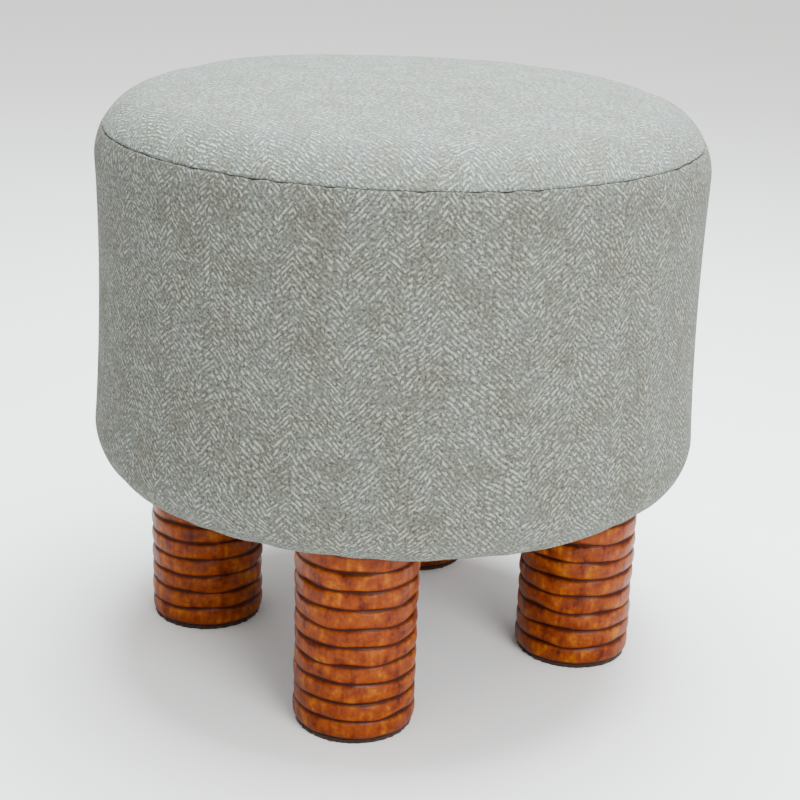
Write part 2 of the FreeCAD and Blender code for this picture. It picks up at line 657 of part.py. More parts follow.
def make_hanger_bolts():
    """Four bolts: screw point down in the leg, machine end up through the tee nut."""
    body = new_body("hanger_bolts")
    axis = "Places.leg_circle"
    shank_low = "Places.leg_top - Sizes.bolt_in_leg + Sizes.bolt_tip_length"
    shank = new_sketch(body, "shank_outline", "XY_Plane", shank_low)
    draw_many_sided(shank, axis, 0, "Sizes.bolt_diameter / 2", FASTENER_SIDES)
    reach = f"Places.nut_top + Sizes.bolt_above_nut - ({shank_low})"
    shank_pad = pad(body, "shank", shank, reach)
    point = new_sketch(body, "point_outline", "XY_Plane", shank_low)
    draw_many_sided(point, axis, 0, "Sizes.bolt_diameter / 2", FASTENER_SIDES)
    point_pad = pad(body, "point", point, "Sizes.bolt_tip_length", True, "Sizes.bolt_tip_taper")
    pattern_round(body, "bolts", [shank_pad, point_pad], len(LEG_NAMES))
    put(body, turn="Sizes.leg_angle")


def prong_outline(sketch, play="0"):
    """The four prongs round one tee nut, which stands on the X axis."""
    wide = f"Sizes.prong_width + {play}"
    thick = f"Sizes.prong_thickness + {play}"
    for side in (-1, 1):
        beside = f"(Places.leg_circle + {side} * Places.prong_circle)"
        draw_rectangle(sketch, beside, "0", thick, wide)
        draw_rectangle(sketch, "Places.leg_circle", f"{side} * Places.prong_circle", wide, thick)


def make_tee_nuts():
    """Four pronged tee nuts, driven into the base from inside."""
    body = new_body("tee_nuts")
    axis = "Places.leg_circle"
    bore = "Sizes.bolt_diameter / 2 + Sizes.bolt_fit"
    made = []
    for name, radius, length, downwards in (
        ("flange", "Sizes.nut_flange_diameter / 2", "Sizes.nut_flange_thickness", False),
        ("barrel", "Sizes.nut_barrel_diameter / 2", "Sizes.nut_barrel_length", True),
    ):
        ring = new_sketch(body, name + "_outline", "XY_Plane", "Places.board_top")
        draw_many_sided(ring, axis, 0, radius, FASTENER_SIDES)
        draw_many_sided(ring, axis, 0, bore, FASTENER_SIDES)
        made.append(pad(body, name, ring, length, downwards))
    prongs = new_sketch(body, "prong_outline", "XY_Plane", "Places.board_top")
    prong_outline(prongs)
    made.append(pad(body, "prongs", prongs, "Sizes.prong_length", True))
    pattern_round(body, "nuts", made, len(LEG_NAMES))
    put(body, turn="Sizes.leg_angle")


# The whole stool, from the inside out and then down to the floor.

make_base_board()
make_top_board()
for index, name in enumerate(POST_NAMES):
    make_post(name, f"{index * QUARTER_TURN}")
make_side_wall()
make_screws("base_screws", "Places.board_bottom", True)
make_screws("top_screws", "Places.frame_top", False)
make_side_foam()
make_top_foam()
make_cover_side_band()
make_cover_top_panel()
make_staples(
    "hem_staples", "Places.hem_staple_circle", "Places.cover_bottom", ["0"], "Sizes.hem_staple_count"
)
make_dust_cover()
make_staples(
    "dust_cover_staples",
    "Places.dust_staple_circle",
    "Places.leg_top - Sizes.staple_wire",
    dust_staple_turns(),
    len(POST_NAMES),
)
make_tee_nuts()
make_hanger_bolts()
for index, name in enumerate(LEG_NAMES):
    direction = f"(Sizes.leg_angle + {index * QUARTER_TURN})"
    make_leg(name, direction)
    make_foot_pad(name, direction)
doc.recompute()

# Every object must be sound before anything is written.

for item in doc.Objects:
    if "Invalid" in item.State or "Error" in item.State:
        raise RuntimeError(f"{item.Label} is {item.State}")
for part in parts:
    if part.Shape.isNull() or not part.Shape.isValid():
        raise RuntimeError(part.Label + " has no sound shape")

os.makedirs("parts", exist_ok=True)
for part in parts:
    part.Shape.exportStep(f"parts/{part.Label}.step")
    print(part.Label, len(part.Shape.Solids), round(part.Shape.Volume))
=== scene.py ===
import bmesh
import bpy
import numpy as np
from mathutils import Matrix, Vector


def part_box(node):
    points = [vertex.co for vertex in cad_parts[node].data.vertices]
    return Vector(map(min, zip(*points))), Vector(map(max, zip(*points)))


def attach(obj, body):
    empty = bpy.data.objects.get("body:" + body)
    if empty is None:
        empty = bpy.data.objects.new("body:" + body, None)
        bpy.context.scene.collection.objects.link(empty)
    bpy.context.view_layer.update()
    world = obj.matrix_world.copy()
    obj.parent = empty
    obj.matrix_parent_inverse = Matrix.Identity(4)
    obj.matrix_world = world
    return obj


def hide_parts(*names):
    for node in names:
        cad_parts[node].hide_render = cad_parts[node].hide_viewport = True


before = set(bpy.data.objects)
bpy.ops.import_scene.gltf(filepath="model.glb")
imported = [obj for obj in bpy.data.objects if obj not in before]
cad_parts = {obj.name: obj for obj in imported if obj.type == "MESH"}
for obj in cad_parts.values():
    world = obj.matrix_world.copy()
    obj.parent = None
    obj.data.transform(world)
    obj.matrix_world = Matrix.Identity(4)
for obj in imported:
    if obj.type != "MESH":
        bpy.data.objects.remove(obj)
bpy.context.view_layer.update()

mm = 0.001

# The camera stands in front of the stool and to its left, a little above the seat, with a long
# lens. It is held slightly turned, so the whole stool leans clockwise in the picture.
aim = Vector((5.4, -4.0, 137.6)) * mm
azimuth = np.radians(-37.0)
elevation = np.radians(19.2)
distance = 958.3 * mm
roll = np.radians(2.2)

away = Vector((
    np.sin(azimuth) * np.cos(elevation),
    -np.cos(azimuth) * np.cos(elevation),
    np.sin(elevation),
))
level = Vector((0, 0, 1)).cross(away).normalized()
upright = away.cross(level)
right = level * np.cos(roll) + upright * np.sin(roll)
up = upright * np.cos(roll) - level * np.sin(roll)
camera_data = bpy.data.cameras.new("view")
camera_data.sensor_width = 36
camera_data.lens = 78.2
camera_data.shift_x = -0.0082
camera = bpy.data.objects.new("view", camera_data)
camera.matrix_world = Matrix((right, up, away)).transposed().to_4x4()
camera.location = aim + away * distance
bpy.context.scene.collection.objects.link(camera)
bpy.context.scene.camera = camera


# The two discs of the carcass are sawn from birch plywood: pale, close-grained faces, and edges
# that show the plies as thin stripes. They carry everything else.

def linear(code):
    """A colour written as an sRGB hex value, turned to the linear values that nodes take."""
    values = np.array([int(code[i:i + 2], 16) for i in (1, 3, 5)]) / 255
    values = np.where(values <= 0.04045, values / 12.92, ((values + 0.055) / 1.055) ** 2.4)
    return (*values, 1.0)


def add_node(tree, kind, inputs=None, **settings):
    """Adds a node, sets its properties, and fills its inputs. An input takes a value, a socket, or
    a node whose first output it is linked to."""
    node = tree.nodes.new(kind)
    for name, value in settings.items():
        setattr(node, name, value)
    for name, value in (inputs or {}).items():
        if isinstance(value, bpy.types.Node):
            value = value.outputs[0]
        if isinstance(value, bpy.types.NodeSocket):
            tree.links.new(value, node.inputs[name])
        else:
            node.inputs[name].default_value = value
    return node


def new_material(name):
    """An empty node material and its tree."""
    material = bpy.data.materials.new(name)
    material.use_nodes = True
    material.node_tree.nodes.clear()
    return material, material.node_tree


def fill_ramp(ramp, stops):
    """Sets a colour ramp's stops from pairs of place and hex colour."""
    elements = ramp.color_ramp.elements
    while len(elements) < len(stops):
        elements.new(0.5)
    for element, (place, code) in zip(elements, stops):
        element.position = place
        element.color = linear(code)


def dress(nodes, material):
    """Gives CAD nodes a material in place of their plain one."""
    for name in nodes:
        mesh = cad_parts[name].data
        mesh.materials.clear()
        mesh.materials.append(material)


def birch_plywood():
    """Sanded, unvarnished veneer: matt, with a long faint grain and darker glue lines between
    the plies, seen on the edges."""
    ply_thickness = 1.4 * mm
    material, tree = new_material("birch_plywood")
    spot = add_node(tree, "ShaderNodeTexCoord").outputs["Object"]
    stretched = add_node(
        tree, "ShaderNodeMapping",
        {"Vector": spot, "Scale": (1 / (60 * mm), 1 / (2.5 * mm), 1 / (2 * mm))},
    )
    grain = add_node(tree, "ShaderNodeTexNoise", {"Vector": stretched, "Scale": 1.0, "Detail": 5.0})
    height = add_node(tree, "ShaderNodeSeparateXYZ", {0: spot}).outputs["Z"]
    ply = add_node(tree, "ShaderNodeMath", {0: height, 1: 1 / ply_thickness}, operation="MULTIPLY")
    stripe = add_node(tree, "ShaderNodeMath", {0: ply, 1: 1.0}, operation="PINGPONG")
    edge = add_node(
        tree, "ShaderNodeMapRange",
        {"Value": stripe, "From Max": 0.3, "To Min": 0.55, "To Max": 1.0},
    )
    veneer = add_node(tree, "ShaderNodeValToRGB", {"Fac": grain})
    fill_ramp(veneer, [(0.35, "#b98f5c"), (0.65, "#d9b98a")])
    colour = add_node(
        tree, "ShaderNodeVectorMath", {0: veneer.outputs["Color"], "Scale": edge.outputs[0]},
        operation="SCALE",
    )
    bump = add_node(tree, "ShaderNodeBump", {"Height": grain, "Strength": 0.3, "Distance": 0.2 * mm})
    shader = add_node(
        tree, "ShaderNodeBsdfPrincipled", {"Base Color": colour, "Roughness": 0.7, "Normal": bump}
    )
    add_node(tree, "ShaderNodeOutputMaterial", {"Surface": shader})
    return material


dress(["base_board", "top_board"], birch_plywood())


# Four posts of planed pine hold the discs apart, and a hoop of thin fibreboard is bent round
# them. Nobody sees either, but both show in a view of the bare carcass.

def planed_pine():
    """Sawn and planed softwood: matt, yellowish, with browner summer wood in upright bands."""
    material, tree = new_material("planed_pine")
    spot = add_node(tree, "ShaderNodeTexCoord").outputs["Object"]
    stretched = add_node(
        tree, "ShaderNodeMapping", {"Vector": spot, "Scale": (1 / (4 * mm), 1 / (4 * mm), 1 / (90 * mm))}
    )
    bands = add_node(tree, "ShaderNodeTexNoise", {"Vector": stretched, "Scale": 1.0, "Detail": 3.0})
    colour = add_node(tree, "ShaderNodeValToRGB", {"Fac": bands})
    fill_ramp(colour, [(0.4, "#e2c08a"), (0.52, "#d3a667"), (0.6, "#b98348")])
    bump = add_node(tree, "ShaderNodeBump", {"Height": bands, "Strength": 0.3, "Distance": 0.2 * mm})
    shader = add_node(
        tree, "ShaderNodeBsdfPrincipled", {"Base Color": colour, "Roughness": 0.65, "Normal": bump}
    )
    add_node(tree, "ShaderNodeOutputMaterial", {"Surface": shader})
    return material


def pressed_fibreboard():
    """Hot-pressed wood fibre: brown, with short pale fibres in every direction and a faint
    shine from the press."""
    material, tree = new_material("pressed_fibreboard")
    spot = add_node(tree, "ShaderNodeTexCoord").outputs["Object"]
    fibres = add_node(
        tree, "ShaderNodeTexNoise",
        {"Vector": spot, "Scale": 1 / (1.5 * mm), "Detail": 6.0, "Roughness": 0.7},
    )
    colour = add_node(tree, "ShaderNodeValToRGB", {"Fac": fibres})
    fill_ramp(colour, [(0.35, "#6b4a30"), (0.7, "#a07c58")])
    bump = add_node(tree, "ShaderNodeBump", {"Height": fibres, "Strength": 0.25, "Distance": 0.15 * mm})
    shader = add_node(
        tree, "ShaderNodeBsdfPrincipled", {"Base Color": colour, "Roughness": 0.45, "Normal": bump}
    )
    add_node(tree, "ShaderNodeOutputMaterial", {"Surface": shader})
    return material


dress(["post_right", "post_rear", "post_left", "post_front"], planed_pine())
dress(["side_wall"], pressed_fibreboard())


# Screws, staples, tee nuts and hanger bolts are steel wire and strip with a thin coat of zinc.
# Only the staples of the dust cover show, from below.

def zinc_plated_steel():
    """Bright zinc over drawn steel: a cool grey metal, faintly cloudy in colour and gloss."""
    material, tree = new_material("zinc_plated_steel")
    spot = add_node(tree, "ShaderNodeTexCoord").outputs["Object"]
    clouds = add_node(tree, "ShaderNodeTexNoise", {"Vector": spot, "Scale": 1 / (3 * mm), "Detail": 3.0})
    colour = add_node(tree, "ShaderNodeValToRGB", {"Fac": clouds})
    fill_ramp(colour, [(0.35, "#a9acae"), (0.65, "#cdd0d2")])
    gloss = add_node(tree, "ShaderNodeMapRange", {"Value": clouds, "To Min": 0.25, "To Max": 0.45})
    shader = add_node(
        tree, "ShaderNodeBsdfPrincipled",
        {"Base Color": colour, "Metallic": 1.0, "Roughness": gloss.outputs[0]},
    )
    add_node(tree, "ShaderNodeOutputMaterial", {"Surface": shader})
    return material


dress(
    ["base_screws", "top_screws", "tee_nuts", "hanger_bolts", "hem_staples", "dust_cover_staples"],
    zinc_plated_steel(),
)


# The padding is polyurethane foam cut from a block: a strip glued round the hoop and a thick
# domed round on top. The cover hides all of it.

def cut_foam():
    """Cut polyurethane foam: cream, quite matt, with open cells about a millimetre wide, their
    hollows darkened with painted shade.
    """
    material, tree = new_material("cut_foam")
    spot = add_node(tree, "ShaderNodeTexCoord").outputs["Object"]
    cells = add_node(tree, "ShaderNodeTexVoronoi", {"Vector": spot, "Scale": 1 / (1.2 * mm)})
    # Painted shade: darker towards each cell's hollow.
    colour = add_node(tree, "ShaderNodeValToRGB", {"Fac": cells.outputs["Distance"]})
    fill_ramp(colour, [(0.1, "#a99a72"), (0.6, "#e6dcb8")])
    bump = add_node(
        tree, "ShaderNodeBump", {"Height": cells.outputs["Distance"], "Strength": 0.6, "Distance": 0.4 * mm}
    )
    shader = add_node(
        tree, "ShaderNodeBsdfPrincipled", {"Base Color": colour, "Roughness": 0.95, "Normal": bump}
    )
    add_node(tree, "ShaderNodeOutputMaterial", {"Surface": shader})
    return material


dress(["side_foam", "top_foam"], cut_foam())


# The seat cover's lower panel is one strip of chenille herringbone, sewn to the round top panel
# just above the shoulder's start, pulled down the side over foam, and turned under the base,
# where staples hold it. Its shape is a profile turned about the drum's axis, on a fine grid.

def skin(name, points, uv=None, closed_profile=False):
    """A mesh over points[row, column]. Columns run round and close on themselves, and rows close
    too on a closed profile. uv has one column more than points, for the last join. Points that
    coincide, as at a pole, are merged."""
    rows, columns = points.shape[:2]
    row = np.arange(rows if closed_profile else rows - 1)[:, None]
    column = np.arange(columns)[None, :]
    above = (row + 1) % rows
    beside = (column + 1) % columns
    faces = np.stack([
        row * columns + column,
        row * columns + beside,
        above * columns + beside,
        above * columns + column,
    ], axis=-1).reshape(-1, 4)
    mesh = bpy.data.meshes.new(name)
    mesh.vertices.add(rows * columns)
    mesh.vertices.foreach_set("co", points.astype(np.float32).ravel())
    mesh.loops.add(faces.size)
    mesh.loops.foreach_set("vertex_index", faces.astype(np.int32).ravel())
    mesh.polygons.add(len(faces))
    mesh.polygons.foreach_set("loop_start", np.arange(0, faces.size, 4, dtype=np.int32))
    mesh.update(calc_edges=True)
    if uv is not None:
        corners = np.stack([
            uv[row, column],
            uv[row, column + 1],
            uv[above, column + 1],
            uv[above, column],
        ], axis=-2)
        layer = mesh.uv_layers.new(name="weave")
        layer.data.foreach_set("uv", corners.astype(np.float32).ravel())
    tidy = bmesh.new()
    tidy.from_mesh(mesh)
    bmesh.ops.remove_doubles(tidy, verts=tidy.verts, dist=1e-7)
    bare = [edge for edge in tidy.edges if not edge.link_faces]
    bmesh.ops.delete(tidy, geom=bare, context="EDGES")
    bmesh.ops.recalc_face_normals(tidy, faces=tidy.faces)
    tidy.to_mesh(mesh)
    tidy.free()
    mesh.polygons.foreach_set("use_smooth", np.ones(len(mesh.polygons), bool))
    piece = bpy.data.objects.new(name, mesh)
    bpy.context.scene.collection.objects.link(piece)
    return piece


def arc(centre, radius, start, stop, count):
    """Points of a circle in the (across, up) plane, from one angle to another, in degrees."""
    angles = np.radians(np.linspace(start, stop, count))
    return centre + radius * np.stack([np.cos(angles), np.sin(angles)], axis=-1)


def line(start, stop, count):
    """Evenly spaced points between two points, without the last."""
    share = np.linspace(0, 1, count, endpoint=False)[:, None]
    return np.array(start) * (1 - share) + np.array(stop) * share


def outward(profile):
    """The profile's unit normals: its tangents turned a quarter clockwise."""
    tangent = np.gradient(profile, axis=0)
    tangent /= np.linalg.norm(tangent, axis=1, keepdims=True) + 1e-12
    return np.stack([tangent[:, 1], -tangent[:, 0]], axis=-1)


def run_length(profile):
    """How far along the profile each point lies."""
    steps = np.linalg.norm(np.diff(profile, axis=0), axis=1)
    return np.concatenate([[0], np.cumsum(steps)])


def turned(profile, angles, push=0.0):
    """The surface that the profile makes as it turns about the drum's axis, pushed outwards along
    the profile's normal: points[row, column]."""
    normal = outward(profile)
    radius = profile[:, :1] + push * normal[:, :1]
    height = profile[:, 1:] + push * normal[:, 1:] + 0 * angles
    return np.stack([radius * np.cos(angles), radius * np.sin(angles), height], axis=-1)


def ripples(angle, along, seed, count, around, length):
    """Smooth unevenness between about -1 and 1: a sum of cosine waves with whole numbers of
    periods round the drum, up to around, and wavelengths along the profile down to length."""
    chance = np.random.default_rng(seed)
    total = np.zeros(np.broadcast(angle, along).shape)
    for _ in range(count):
        turns = chance.integers(1, around + 1)
        pace = chance.uniform(0, 2 * np.pi / length)
        total += np.cos(turns * angle + pace * along + chance.uniform(0, 2 * np.pi))
    return total / np.sqrt(count)


def settle(profile, kept_rows, spare, cap):
    """How far the fabric lifts from its cut shape once it settles: rows of the profile are turned
    into a coarse net, cut larger by the spare share, held along its first and last row, and blown
    up as cloth. The rise along the normal, less most of its mean round the drum, is capped and
    spread back over the fine grid with Gaussian weights."""
    step = 8
    frames = 20
    mean_taken_off = 0.8
    row_spread = 7 * mm
    column_spread = 0.75 * step
    coarse = angles[::step]
    net = turned(profile, coarse)[kept_rows]
    normal = outward(profile)[kept_rows]
    out = np.stack([
        normal[:, :1] * np.cos(coarse),
        normal[:, :1] * np.sin(coarse),
        normal[:, 1:] + 0 * coarse,
    ], axis=-1)
    trial = skin("trial_net", net)
    edge = len(coarse)
    net_points = net.size // 3
    held = trial.vertex_groups.new(name="held")
    held.add([*range(edge), *range(net_points - edge, net_points)], 1.0, "REPLACE")
    cloth = trial.modifiers.new("cloth", "CLOTH").settings
    cloth.vertex_group_mass = "held"
    cloth.quality = 6
    cloth.use_pressure = True
    cloth.uniform_pressure_force = 4
    cloth.shrink_min = -spare
    cloth.bending_stiffness = 0.8
    cloth.effector_weights.gravity = 0
    for number in range(1, frames + 1):
        bpy.context.scene.frame_set(number)
    blown = trial.evaluated_get(bpy.context.evaluated_depsgraph_get()).data
    after = np.zeros(net.size, np.float32)
    blown.vertices.foreach_get("co", after)
    rise = ((after.reshape(net.shape) - net) * out).sum(axis=-1)
    bpy.data.objects.remove(trial)
    bpy.context.scene.frame_set(1)
    rise -= mean_taken_off * rise.mean(axis=1, keepdims=True)
    rise = cap * np.tanh(rise / cap)
    length = run_length(profile)
    near_row = np.exp(-((length[:, None] - length[kept_rows]) / row_spread) ** 2) + 1e-12
    near_row /= near_row.sum(axis=1, keepdims=True)
    apart = np.arange(columns)[:, None] - np.arange(0, columns, step)
    apart = (apart + columns / 2) % columns - columns / 2
    near_column = np.exp(-(apart / column_spread) ** 2)
    near_column /= near_column.sum(axis=1, keepdims=True)
    return near_row @ rise @ near_column.T


band_low, band_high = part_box("cover_side_band")
panel_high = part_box("cover_top_panel")[1]
cloth_thickness = 1.5 * mm
corner_radius = 26 * mm
shoulder_radius = 34 * mm
crown_radius = 972 * mm
seam_angle = 27.0
lip = 1.3 * mm
seam_half = 0.06 * mm
turned_in = 5 * mm
lip_points = 9
tuck_points = 3
columns = 800

underside = band_low.z
low_radius = band_high.x
waist_radius = 158.9 * mm
waist_height = 223 * mm
side_radius = 159.9 * mm
hem_radius = 114 * mm
corner_centre = np.array([low_radius - corner_radius, underside + corner_radius])
crown_centre = np.array([0, panel_high.z - crown_radius])
shoulder_across = side_radius - shoulder_radius
shoulder_up = crown_centre[1] + np.sqrt((crown_radius - shoulder_radius) ** 2 - shoulder_across ** 2)
shoulder_centre = np.array([shoulder_across, shoulder_up])
crown_angle = np.degrees(np.arccos(shoulder_across / (crown_radius - shoulder_radius)))


def side_line(count):
    """The side's radius as a parabola through its foot, its waist and its top."""
    height = np.linspace(corner_centre[1], shoulder_up, count + 2)[1:-1]
    knots = np.array([corner_centre[1], waist_height, shoulder_up])
    across = np.polyfit(knots, [low_radius, waist_radius, side_radius], 2)
    return np.stack([np.polyval(across, height), height], axis=-1)


def beside_seam(depth, aside):
    """A point near the seam: depth below the fabric's face, and aside from the seam's plane."""
    tilt = np.radians(seam_angle)
    out = np.array([np.cos(tilt), np.sin(tilt)])
    over = np.array([-np.sin(tilt), np.cos(tilt)])
    return shoulder_centre + out * (shoulder_radius - depth) + over * aside


def lip_line(side):
    """The rounded edge where a panel turns into the seam: from its face round into the depth."""
    centre = beside_seam(lip, side * (lip + seam_half))
    return arc(centre, lip, seam_angle + side * 4, seam_angle - side * 90, lip_points)


lip_angle = np.degrees((lip + seam_half) / shoulder_radius) + 1.0
angles = np.linspace(0, 2 * np.pi, columns, endpoint=False)
wrapped = np.linspace(0, 2 * np.pi, columns + 1)

outside = np.concatenate([
    line((hem_radius, underside), (corner_centre[0], underside), 8),
    arc(corner_centre, corner_radius, -90, 0, 20),
    side_line(44),
    arc(shoulder_centre, shoulder_radius, 0, seam_angle - lip_angle, 10),
    lip_line(-1),
    line(beside_seam(lip + 1 * mm, -seam_half), beside_seam(turned_in, -seam_half), tuck_points),
    [beside_seam(turned_in, -seam_half)],
])
inside = np.concatenate([
    [beside_seam(turned_in, -seam_half - cloth_thickness)],
    arc(shoulder_centre, shoulder_radius - cloth_thickness, seam_angle - lip_angle, 0, 4),
    (side_line(44) - [cloth_thickness, 0])[::-6],
    arc(corner_centre, corner_radius - cloth_thickness, 0, -90, 7),
    [(hem_radius, underside + cloth_thickness)],
])
profile = np.concatenate([outside, inside])
along = run_length(profile)
lip_row = len(outside) - (lip_points + tuck_points + 1)
down = (along[lip_row] - along)[:, None]
hem_fade = 30 * mm
worn = np.where(np.arange(len(profile)) < len(outside), 1.0, 0.0)
worn = (worn * np.clip(along / hem_fade, 0, 1))[:, None]

unevenness = 0.35 * mm
seam_fade = 25 * mm
gather_depth = 0.55 * mm
gather_reach = 6 * mm
stitch_height = 0.12 * mm
stitch_reach = 1.6 * mm
columns_per_wave = 4
soft = unevenness * ripples(angles, down, seed=3, count=14, around=7, length=160 * mm)
creases = ripples(angles, 0 * down, seed=5, count=30, around=90, length=1)
gathers = -gather_depth * np.clip(creases, 0, None) * np.exp(-np.abs(down) / gather_reach)
stitch_waves = np.cos(angles * columns / columns_per_wave)
stitches = stitch_height * np.exp(-np.abs(down) / stitch_reach) * stitch_waves
net_start = 9
net_rows = np.linspace(net_start, lip_row, 22).astype(int)
lift = settle(profile, net_rows, spare=0.01, cap=0.7 * mm)
push = (soft * np.clip(down / seam_fade, 0, 1) + gathers + stitches + lift) * worn
strip = np.stack(np.meshgrid(wrapped * side_radius, along), axis=-1)
side_cover = skin("side_cover", turned(profile, angles, push), strip, closed_profile=True)
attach(side_cover, "root")
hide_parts("cover_side_band")


def chenille_herringbone(name, stops, shade_scale, highlight_scale):
    """Chenille yarn in a broken herringbone: short fuzzy strokes 3 mm apart along the columns,
    which lean one way or the other, in close green-greys, matt, with faint streaks along the
    columns. The yarn's colour is scaled by the relief, from its darkest in the hollows to its
    palest on the pile: painted shade in dark flecks between the yarns and painted highlight in
    pale flecks where the pile stands up."""
    column_width = 8.5 * mm
    stroke = 3.0 * mm
    lean = 1.0
    sway = 7 * mm
    share_leaning_left = 0.68
    offset_between_columns = 7.0
    material, tree = new_material(name)
    uv = add_node(tree, "ShaderNodeUVMap", uv_map="weave").outputs["UV"]
    drift = add_node(
        tree, "ShaderNodeTexNoise", {"Vector": uv, "Scale": 1 / (26 * mm), "Detail": 2.0, "Roughness": 0.5},
        noise_dimensions="2D",
    ).outputs["Color"]
    centred = add_node(tree, "ShaderNodeVectorMath", {0: drift, 1: (0.5, 0.5, 0.5)}, operation="SUBTRACT")
    scaled = add_node(tree, "ShaderNodeVectorMath", {0: centred, "Scale": sway}, operation="SCALE")
    moved = add_node(tree, "ShaderNodeVectorMath", {0: uv, 1: scaled}, operation="ADD")
    place = add_node(tree, "ShaderNodeSeparateXYZ", {0: moved})
    column = add_node(tree, "ShaderNodeMath", {0: place.outputs["X"], 1: column_width}, operation="DIVIDE")
    index = add_node(tree, "ShaderNodeMath", {0: column}, operation="FLOOR")
    across = add_node(tree, "ShaderNodeMath", {0: column}, operation="FRACT")
    chance = add_node(tree, "ShaderNodeTexWhiteNoise", {"W": index}, noise_dimensions="1D").outputs["Value"]
    leans_left = add_node(
        tree, "ShaderNodeMath", {0: chance, 1: share_leaning_left}, operation="LESS_THAN"
    )
    way = add_node(tree, "ShaderNodeMath", {0: leans_left, 1: 2.0, 2: -1.0}, operation="MULTIPLY_ADD")
    slant = add_node(tree, "ShaderNodeMath", {0: way, 1: across}, operation="MULTIPLY")
    rise = add_node(tree, "ShaderNodeMath", {0: place.outputs["Y"], 1: stroke}, operation="DIVIDE")
    leaning = add_node(
        tree, "ShaderNodeMath", {0: slant, 1: lean * column_width / stroke, 2: rise},
        operation="MULTIPLY_ADD",
    )
    phase = add_node(
        tree, "ShaderNodeMath", {0: chance, 1: offset_between_columns, 2: leaning},
        operation="MULTIPLY_ADD",
    )
    yarn = add_node(tree, "ShaderNodeMath", {0: phase, 1: 0.5}, operation="PINGPONG")
    yarn_round = add_node(
        tree, "ShaderNodeMapRange", {"Value": yarn, "From Min": 0.08, "From Max": 0.42},
        interpolation_type="SMOOTHSTEP",
    )
    flecks = add_node(
        tree, "ShaderNodeTexNoise",
        {"Vector": uv, "Scale": 1 / (2.4 * mm), "Detail": 2.0, "Roughness": 0.55},
        noise_dimensions="2D",
    )
    broken = add_node(
        tree, "ShaderNodeMapRange", {"Value": flecks, "From Min": 0.42, "From Max": 0.58},
        interpolation_type="SMOOTHSTEP",
    )
    stretch = add_node(
        tree, "ShaderNodeTexNoise", {"Vector": uv, "Scale": 1 / (7 * mm), "Detail": 2.0, "W": 3.0},
        noise_dimensions="4D",
    )
    shown = add_node(
        tree, "ShaderNodeMapRange",
        {"Value": stretch, "From Min": 0.38, "From Max": 0.58, "To Min": 0.25, "To Max": 1.0},
    )
    strokes = add_node(
        tree, "ShaderNodeMath", {0: yarn_round.outputs[0], 1: broken.outputs[0]},
        operation="MULTIPLY",
    )
    clear = add_node(tree, "ShaderNodeMath", {0: strokes, 1: shown.outputs[0]}, operation="MULTIPLY")
    fibres = add_node(
        tree, "ShaderNodeTexNoise",
        {"Vector": uv, "Scale": 1 / (1.3 * mm), "Detail": 3.0, "Roughness": 0.6},
        noise_dimensions="2D",
    )
    rough = add_node(tree, "ShaderNodeMath", {0: fibres, 1: 1.1, 2: clear}, operation="MULTIPLY_ADD")
    long_way = add_node(
        tree, "ShaderNodeMapping", {"Vector": uv, "Scale": (1 / (2.2 * mm), 1 / (22 * mm), 1)}
    )
    streaks = add_node(
        tree, "ShaderNodeTexNoise", {"Vector": long_way, "Scale": 1.0, "Detail": 3.0}, noise_dimensions="2D"
    )
    clouds = add_node(
        tree, "ShaderNodeTexNoise", {"Vector": uv, "Scale": 1 / (24 * mm), "Detail": 2.0},
        noise_dimensions="2D",
    )
    shade = add_node(tree, "ShaderNodeMath", {0: streaks, 1: 0.8, 2: clouds}, operation="MULTIPLY_ADD")
    yarns = add_node(tree, "ShaderNodeValToRGB", {"Fac": shade})
    fill_ramp(yarns, stops)
    # Painted shade in the hollows between the yarns and painted highlight on the pile tops.
    painted_shade_and_highlight = add_node(
        tree, "ShaderNodeMapRange",
        {"Value": rough, "From Min": 0.3, "From Max": 1.4, "To Min": shade_scale, "To Max": highlight_scale},
    )
    colour = add_node(
        tree, "ShaderNodeVectorMath", {0: yarns.outputs["Color"], "Scale": painted_shade_and_highlight.outputs[0]},
        operation="SCALE",
    )
    bump = add_node(tree, "ShaderNodeBump", {"Height": rough, "Strength": 0.8, "Distance": 0.9 * mm})
    shader = add_node(tree, "ShaderNodeBsdfPrincipled", {
        "Base Color": colour,
        "Roughness": 0.95,
        "Specular IOR Level": 0.1,
        "Sheen Weight": 0.04,
        "Sheen Roughness": 0.6,
        "Normal": bump,
    })
    add_node(tree, "ShaderNodeOutputMaterial", {"Surface": shader})
    return material


side_cover.data.materials.append(chenille_herringbone(
    "chenille_herringbone", [(0.5, "#6c6b61"), (0.9, "#72746b"), (1.0, "#747870")], 0.22, 1.75,
))


# The top panel is a round of the same cloth over thick foam: a low crown, a rounded shoulder,
# and an edge that turns into the seam against the strip's. Its weave runs straight across. Its
# copy of the cloth is painted paler, cooler and with less contrast than the side's: painted
# light falling from above.

face = np.concatenate([
    line(beside_seam(turned_in, seam_half), beside_seam(lip + 1 * mm, seam_half), tuck_points),
    lip_line(1)[::-1],
    arc(shoulder_centre, shoulder_radius, seam_angle + lip_angle, crown_angle, 22),
    arc(crown_centre, crown_radius, crown_angle, 90, 34)[1:],
])
back = np.concatenate([
    arc(crown_centre, crown_radius - cloth_thickness, 90, crown_angle, 8),
    arc(shoulder_centre, shoulder_radius - cloth_thickness, crown_angle, seam_angle + lip_angle, 6)[1:],
    [beside_seam(turned_in, seam_half + cloth_thickness)],
])
profile = np.concatenate([face, back])
profile[:, 0] = np.where(profile[:, 0] < 1e-6, 0, profile[:, 0])
along = run_length(profile)
lip_row = tuck_points + lip_points - 1
over = (along - along[lip_row])[:, None]
on_face = np.arange(len(profile)) < len(face)
middle_fade = 40 * mm
worn = np.where(on_face, 1.0, 0.0)
worn = (worn * np.clip(profile[:, 0] / middle_fade, 0, 1))[:, None]

